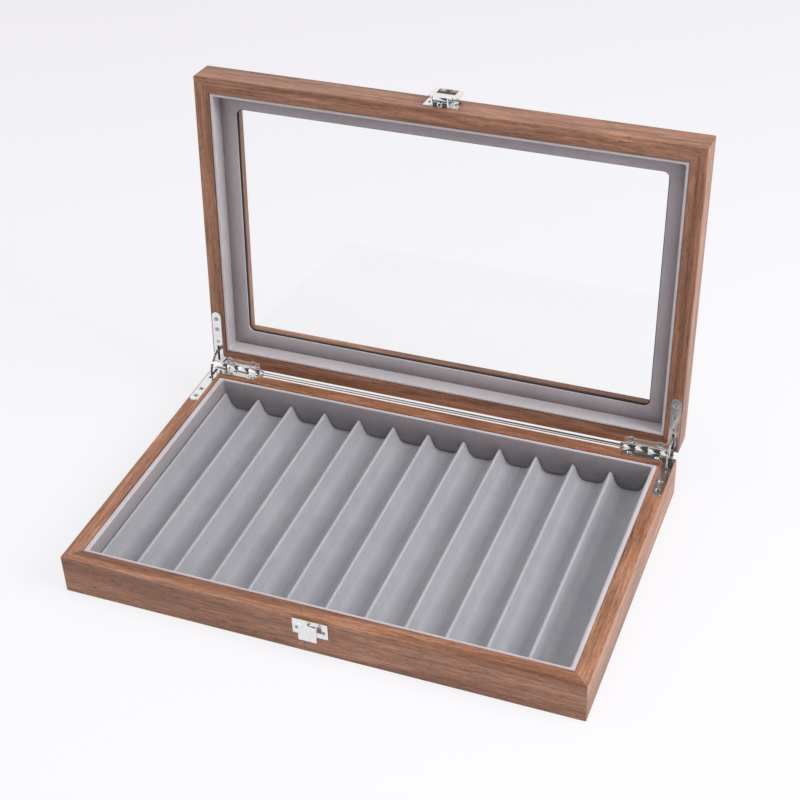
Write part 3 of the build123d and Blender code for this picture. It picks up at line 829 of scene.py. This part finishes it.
class Shader(Tree):
    """A material's node tree round its surface shader."""

    def __init__(self, name):
        self.material = bpy.data.materials.new(name)
        self.material.use_nodes = True
        super().__init__(self.material.node_tree)
        self.surface = self.nodes["Principled BSDF"]

    def constants(self, **values):
        """Constants on the surface shader, with _ for each space in a socket's name."""
        for key, value in values.items():
            self.surface.inputs[key.replace("_", " ")].default_value = value

    def feed(self, socket, value):
        """Link a value to one of the surface shader's sockets."""
        self.join(value, self.surface.inputs[socket])

    def show(self, shader):
        """Put another shader on the surface."""
        self.join(shader, self.nodes["Material Output"].inputs["Surface"])

    def coordinates(self, rotation=(0, 0, 0), scale=(1, 1, 1), shift=(0, 0, 0)):
        """Object coordinates, turned, then scaled and shifted."""
        source = self.add("ShaderNodeTexCoord")
        turned = self.add("ShaderNodeMapping")
        turned.inputs["Rotation"].default_value = rotation
        scaled = self.add("ShaderNodeMapping")
        scaled.inputs["Scale"].default_value = scale
        scaled.inputs["Location"].default_value = shift
        self.join(source.outputs["Object"], turned.inputs["Vector"])
        self.join(turned.outputs["Vector"], scaled.inputs["Vector"])
        return scaled.outputs["Vector"]

    def noise(self, vector, scale, detail=2.0, roughness=0.5, distortion=0.0):
        """Noise texture's value."""
        node = self.add("ShaderNodeTexNoise")
        node.inputs["Scale"].default_value = scale
        node.inputs["Detail"].default_value = detail
        node.inputs["Roughness"].default_value = roughness
        node.inputs["Distortion"].default_value = distortion
        self.join(vector, node.inputs["Vector"])
        return node.outputs["Fac"]

    def multiply(self, factor, first, second):
        """Product of two colours, as strong as the factor."""
        node = self.add("ShaderNodeMix", data_type="RGBA", blend_type="MULTIPLY")
        node.inputs[MIX_FACTOR].default_value = factor
        self.join(first, node.inputs[MIX_FIRST])
        self.join(second, node.inputs[MIX_SECOND])
        return node.outputs[MIX_RESULT]

    def rescale(self, value, low, high, new_low, new_high):
        """A value carried from one range to another, clamped."""
        node = self.add("ShaderNodeMapRange")
        for name, number in (("From Min", low), ("From Max", high),
                             ("To Min", new_low), ("To Max", new_high)):
            node.inputs[name].default_value = number
        self.join(value, node.inputs["Value"])
        return node.outputs["Result"]

    def bump(self, height, distance, strength=1.0):
        """Bump on the surface's normal."""
        node = self.add("ShaderNodeBump")
        node.inputs["Distance"].default_value = distance
        node.inputs["Strength"].default_value = strength
        self.join(height, node.inputs["Height"])
        self.feed("Normal", node.outputs["Normal"])


def walnut(name, rotation, shift, tone):
    """Satin walnut whose grain runs along X once the object is turned by the rotation."""
    wood = Shader(name)

    def pattern(stretch, *settings):
        return wood.noise(wood.coordinates(rotation, stretch, shift), *settings)

    dark, middle, light = (
        tuple(tone * part for part in colour)
        for colour in (WALNUT_DARK, WALNUT_MIDDLE, WALNUT_LIGHT)
    )
    streaks = pattern(*STREAKS)
    pores = wood.ramp(pattern(*PORES), PORE_RAMP)
    colour = wood.ramp(pattern(*FIGURE), [(0.28, dark), (0.48, middle), (0.70, light)])
    colour = wood.multiply(0.95, colour, wood.ramp(pattern(*BANDS), BAND_RAMP))
    colour = wood.multiply(0.8, colour, wood.ramp(streaks, STREAK_RAMP))
    colour = wood.multiply(0.9, colour, wood.ramp(pattern(*SPECKS), SPECK_RAMP))
    colour = wood.multiply(0.8, colour, pores)
    wood.feed("Base Color", colour)
    wood.feed("Roughness", wood.rescale(streaks, 0.3, 0.7, 0.50, 0.38))
    wood.constants(Specular_IOR_Level=0.45, Coat_Weight=0.10, Coat_Roughness=0.28)
    wood.bump(pores, 0.06 * MM, 0.5)
    return wood.material


def velvet(name, colour, sheen=PLAIN_SHEEN, crest=None):
    """Short-pile velvet with a fine speckle and soft marks in its nap. Where a crest's
    height is given, the colour is paler close to it: a painted highlight along the crest."""
    cloth = Shader(name)
    plain = cloth.coordinates()
    fibres = cloth.noise(plain, 2400.0, 3.0, 0.7)
    nap = cloth.noise(plain, 38.0, 3.0, 0.55, 0.4)
    brushed = cloth.noise(cloth.coordinates(scale=(1, 0.25, 1)), 240.0, 2.0, 0.6)
    dark = tuple(part * 0.80 for part in colour)
    light = tuple(min(part * 1.18, 1.0) for part in colour)
    shaded = cloth.ramp(fibres, [(0.30, dark), (0.52, colour), (0.74, light)])
    soft = cloth.ramp(nap, [(0.30, (0.94, 0.94, 0.95)), (0.70, (1.05, 1.05, 1.04))])
    shaded = cloth.multiply(0.9, shaded, soft)
    worn = cloth.ramp(brushed, [(0.3, (0.97, 0.97, 0.97)), (0.7, (1.03, 1.03, 1.03))])
    shaded = cloth.multiply(0.8, shaded, worn)
    if crest:
        height = cloth.add("ShaderNodeSeparateXYZ")
        cloth.join(plain, height.inputs["Vector"])
        # Painted highlight: the colour grows paler towards the crest
        bottom, top = crest - CREST_HIGHLIGHT_FROM, crest - CREST_HIGHLIGHT_TO
        crest_highlight = cloth.rescale(height.outputs["Z"], bottom, top, 0.0, 1.0)
        pale = cloth.ramp(crest_highlight, [(0.0, WHITE), (1.0, (1.22, 1.21, 1.20))])
        shaded = cloth.multiply(1.0, shaded, pale)
    cloth.feed("Base Color", shaded)
    cloth.constants(Roughness=0.95, Specular_IOR_Level=0.15)
    cloth.constants(Sheen_Weight=sheen, Sheen_Roughness=0.45, Sheen_Tint=SHEEN_TINT)
    cloth.bump(fibres, 0.12 * MM, 0.45)
    return cloth.material


def felt(name):
    """Black felt."""
    cloth = Shader(name)
    fibres = cloth.noise(cloth.coordinates(), 1500.0, 4.0, 0.7)
    colour = cloth.ramp(fibres, [(0.3, (0.012, 0.012, 0.014)), (0.7, (0.045, 0.044, 0.047))])
    cloth.feed("Base Color", colour)
    cloth.constants(Roughness=1.0, Specular_IOR_Level=0.1, Sheen_Weight=0.15)
    cloth.bump(fibres, 0.2 * MM, 0.6)
    return cloth.material


def chrome(name, tone=1.0, tint=WHITE, rough=POLISHED):
    """Plating with faint scratches and a slight unevenness."""
    metal = Shader(name)
    low, high = (tuple(tone * level * part for part in tint) for level in PLATING_LEVELS)
    wave = metal.noise(metal.coordinates(), 420.0, 2.0, 0.5)
    scratch = metal.noise(metal.coordinates((0.3, 0.4, 0.5), (20, 900, 300)), 6.0, 3.0, 0.7)
    metal.feed("Base Color", metal.ramp(wave, [(0.3, low), (0.7, high)]))
    metal.feed("Roughness", metal.rescale(scratch, 0.35, 0.75, rough, rough + 0.10))
    metal.constants(Metallic=1.0)
    metal.bump(wave, 0.02 * MM, 0.5)
    return metal.material


def pane(name):
    """Clear glass with the faintest smears, which lets the lamps' light through."""
    glass = Shader(name)
    smear = glass.noise(glass.coordinates((0.2, 0.1, 0.6), (3, 1, 8)), 9.0, 3.0, 0.6, 1.0)
    glass.feed("Roughness", glass.rescale(smear, 0.4, 0.8, 0.0, 0.05))
    glass.constants(IOR=GLASS_IOR, Transmission_Weight=1.0, Base_Color=GLASS_COLOUR)
    path = glass.add("ShaderNodeLightPath")
    lit = glass.larger(path.outputs["Is Shadow Ray"], path.outputs["Is Diffuse Ray"])
    clear = glass.add("ShaderNodeBsdfTransparent")
    glass.show(glass.mix_shaders(lit, glass.surface.outputs["BSDF"], clear.outputs["BSDF"]))
    return glass.material


def board(name):
    """Plain brown board of the bottom."""
    wood = Shader(name)
    lines = wood.noise(wood.coordinates(scale=(1, 40, 40)), 12.0, 4.0, 0.6, 0.3)
    colour = wood.ramp(lines, [(0.3, (0.24, 0.14, 0.09)), (0.7, (0.40, 0.26, 0.17))])
    wood.feed("Base Color", colour)
    wood.constants(Roughness=0.6)
    wood.bump(lines, 0.1 * MM, 0.4)
    return wood.material


# -------------------------------------------------------------- dressing


def finish_node(node, material, edge=0.0):
    """Give a CAD node its material and softened edges."""
    piece = NODES[node]
    for slot in piece.material_slots:
        slot.material = material
    if edge:
        soften_edges(piece, edge)


def dress_wood():
    """Walnut on all eight rails, each cut from its own piece of board."""
    step_x, step_y, step_z = GRAIN_STEP
    for half, tilt, start, shade in (
        ("base", 0.0, 0.0, 1.0),
        ("lid", OPEN_ANGLE, LID_GRAIN_START, LID_TONE),
    ):
        for number, side in enumerate(SIDES):
            turn = -QUARTER_TURN if side in ("left", "right") else 0.0
            shift = (step_x * number + start, step_y * number, step_z * number)
            tone = RAIL_TONES[number] * shade
            material = walnut(f"walnut_{half}_{side}", (tilt, 0.0, turn), shift, tone)
            finish_node(f"{half}_{side}_rail", material, RAIL_EDGE)
    finish_node("base_bottom_panel", board("bottom_board"))
    felt_pad(felt("black_felt"))


def dress_metal():
    """Plating on the hinges, the stays, the rod, the latch and the fasteners."""
    plating = chrome("bright_chrome")
    for node in (
        "left_base_leaf", "right_base_leaf", "left_lid_leaf", "right_lid_leaf",
        "left_stay_arm", "right_stay_arm", "catch_plate", "latch_housing", "latch_flap",
        "rod_collars", "latch_pin",
    ):
        finish_node(node, plating, METAL_EDGE)
    through_rod(plating)
    steel = chrome("nail_steel", NAIL_TONE, NAIL_TINT, NAIL_ROUGH)
    fasteners(chrome("screw_plating", SCREW_TONE), steel)
    finish_node("latch_eyelet", chrome("ring_plating", RING_TONE), METAL_EDGE)
    brass = chrome("rivet_brass", RIVET_TONE, RIVET_TINT, RIVET_ROUGH)
    finish_node("catch_rivet", brass, METAL_EDGE)
    # Painted shade in the mouth of the latch's housing
    latch_mouth_shade(chrome("mouth_painted_shade", MOUTH_SHADE_TONE, MOUTH_SHADE_TINT, MOUTH_ROUGH))


def dress_velvet():
    """Velvet on the tray, the linings and the board round the window. The lid's lining and the
    board are the base's cloth made lighter: painted light.
    """
    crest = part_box("pen_tray_insert")[1][2]
    tray_velvet = velvet("tray_velvet", TRAY_GREY, crest=crest)
    base_velvet = velvet("base_velvet", BASE_GREY)
    lid_velvet_painted_light = velvet("lid_velvet_painted_light", LID_GREY_PAINTED_LIGHT)
    board_velvet = velvet("board_velvet", BOARD_GREY_PAINTED_LIGHT)
    cut_edge_and_rim_highlight = velvet("cut_edge_and_rim_highlight", CUT_EDGE_AND_HIGHLIGHT_GREY, CUT_SHEEN)
    velvet_tray(tray_velvet)
    velvet_linings(base_velvet, lid_velvet_painted_light, cut_edge_and_rim_highlight)
    velvet_board(board_velvet, cut_edge_and_rim_highlight)


# ----------------------------------------------------------------- stage


def studio():
    """Pale floor, a soft key lamp from the right and a white surround."""
    far = FLOOR_HALF
    corners = [(-far, -far, 0), (far, -far, 0), (far, far, 0), (-far, far, 0)]
    floor = new_object("studio_floor", corners, [(0, 1, 2, 3)], [floor_material()])
    surround()
    lamp("key_lamp", KEY_PLACE, KEY_SIZE, KEY_POWER)
    overhead = lamp("top_lamp", TOP_PLACE, TOP_SIZE, TOP_POWER)
    overhead.visible_glossy = False
    lamp("fill_lamp", FILL_PLACE, FILL_SIZE, FILL_POWER)


def surround():
    """World that lights evenly and looks near white. Gloss mirrors another one, which is
    dark to the right and above."""
    world = bpy.data.worlds.new("studio_world")
    bpy.context.scene.world = world
    world.use_nodes = True
    sky = Tree(world.node_tree)
    ambient = sky.nodes["Background"]
    ambient.inputs["Color"].default_value = WORLD_COLOUR
    ambient.inputs["Strength"].default_value = WORLD_STRENGTH
    mirrored = sky.add("ShaderNodeBackground")
    seen = sky.add("ShaderNodeBackground")
    seen.inputs["Color"].default_value = BACKDROP_COLOUR
    direction = sky.add("ShaderNodeTexCoord")
    toward = sky.along(direction.outputs["Generated"], DARK_SIDE)
    half = sky.add("ShaderNodeMath", operation="MULTIPLY_ADD")
    half.inputs[1].default_value = 0.5
    half.inputs[2].default_value = 0.5
    sky.join(toward, half.inputs[0])
    sky.join(sky.ramp(half.outputs["Value"], DARK_RAMP), mirrored.inputs["Color"])
    path = sky.add("ShaderNodeLightPath")
    shine = sky.mix_shaders(
        path.outputs["Is Glossy Ray"], ambient.outputs["Background"],
        mirrored.outputs["Background"],
    )
    view = sky.mix_shaders(path.outputs["Is Camera Ray"], shine, seen.outputs["Background"])
    sky.join(view, sky.nodes["World Output"].inputs["Surface"])


def floor_material():
    """Matt white paper that keeps the chest's shadow. Seen by the camera, in gloss and through
    glass it also glows, a little greyer at the far left: painted shade of the light's fall-off.
    """
    paper = Shader("studio_paper")
    tone = paper.noise(paper.coordinates(), 3.0, 2.0)
    colour = paper.ramp(tone, [(0.3, (0.86, 0.855, 0.88)), (0.7, (0.88, 0.875, 0.90))])
    paper.feed("Base Color", colour)
    paper.constants(Roughness=0.9, Specular_IOR_Level=0.1)
    painted_falloff = paper.rescale(paper.along(paper.coordinates(), FLOOR_FADE), -0.9, 0.45, 0.0, 1.0)
    pale = paper.ramp(painted_falloff, [(0.0, (0.900, 0.880, 0.925)), (1.0, (0.985, 0.98, 0.99))])
    glow = paper.add("ShaderNodeEmission")
    paper.join(pale, glow.inputs["Color"])
    path = paper.add("ShaderNodeLightPath")
    seen = paper.larger(path.outputs["Is Camera Ray"], path.outputs["Is Glossy Ray"])
    seen = paper.larger(seen, path.outputs["Is Transmission Ray"])
    share = paper.rescale(seen, 0.0, 1.0, 0.0, FLOOR_GLOW)
    paper.show(paper.mix_shaders(share, paper.surface.outputs["BSDF"], glow.outputs["Emission"]))
    return paper.material


def lamp(name, place, size, power):
    """Square soft lamp that faces the chest."""
    data = bpy.data.lights.new(name, "AREA")
    data.size = size
    data.energy = power
    made = bpy.data.objects.new(name, data)
    made.location = place
    made.rotation_euler = (LAMP_AIM - made.location).to_track_quat("-Z", "Y").to_euler()
    bpy.context.scene.collection.objects.link(made)
    return made


def camera():
    """Camera at the photograph's angle, with its slight roll."""
    azimuth, elevation, roll = CAMERA_AZIMUTH, CAMERA_ELEVATION, CAMERA_ROLL
    back = Vector((
        math.sin(azimuth) * math.cos(elevation),
        -math.cos(azimuth) * math.cos(elevation),
        math.sin(elevation),
    ))
    right = (-back).cross(Vector((0, 0, 1))).normalized()
    up = right.cross(-back)
    turned_right = math.cos(roll) * right + math.sin(roll) * up
    turned_up = -math.sin(roll) * right + math.cos(roll) * up
    data = bpy.data.cameras.new("photo_camera")
    data.lens = CAMERA_LENS
    data.sensor_width = CAMERA_SENSOR
    made = bpy.data.objects.new("photo_camera", data)
    facing = Matrix((turned_right, turned_up, back)).transposed().to_4x4()
    made.matrix_world = Matrix.Translation(CAMERA_TARGET + back * CAMERA_DISTANCE) @ facing
    bpy.context.scene.collection.objects.link(made)
    bpy.context.scene.camera = made


def main():
    """Dress the chest and set up the studio."""
    camera()
    dress_velvet()
    dress_wood()
    dress_metal()
    # Black bead at the window: painted shade in the gap by the glass
    window_shade_bead(felt("bead_painted_shade"))
    finish_node("lid_glass", pane("clear_pane"))
    studio()
    bpy.context.scene.view_settings.view_transform = "Standard"


main()
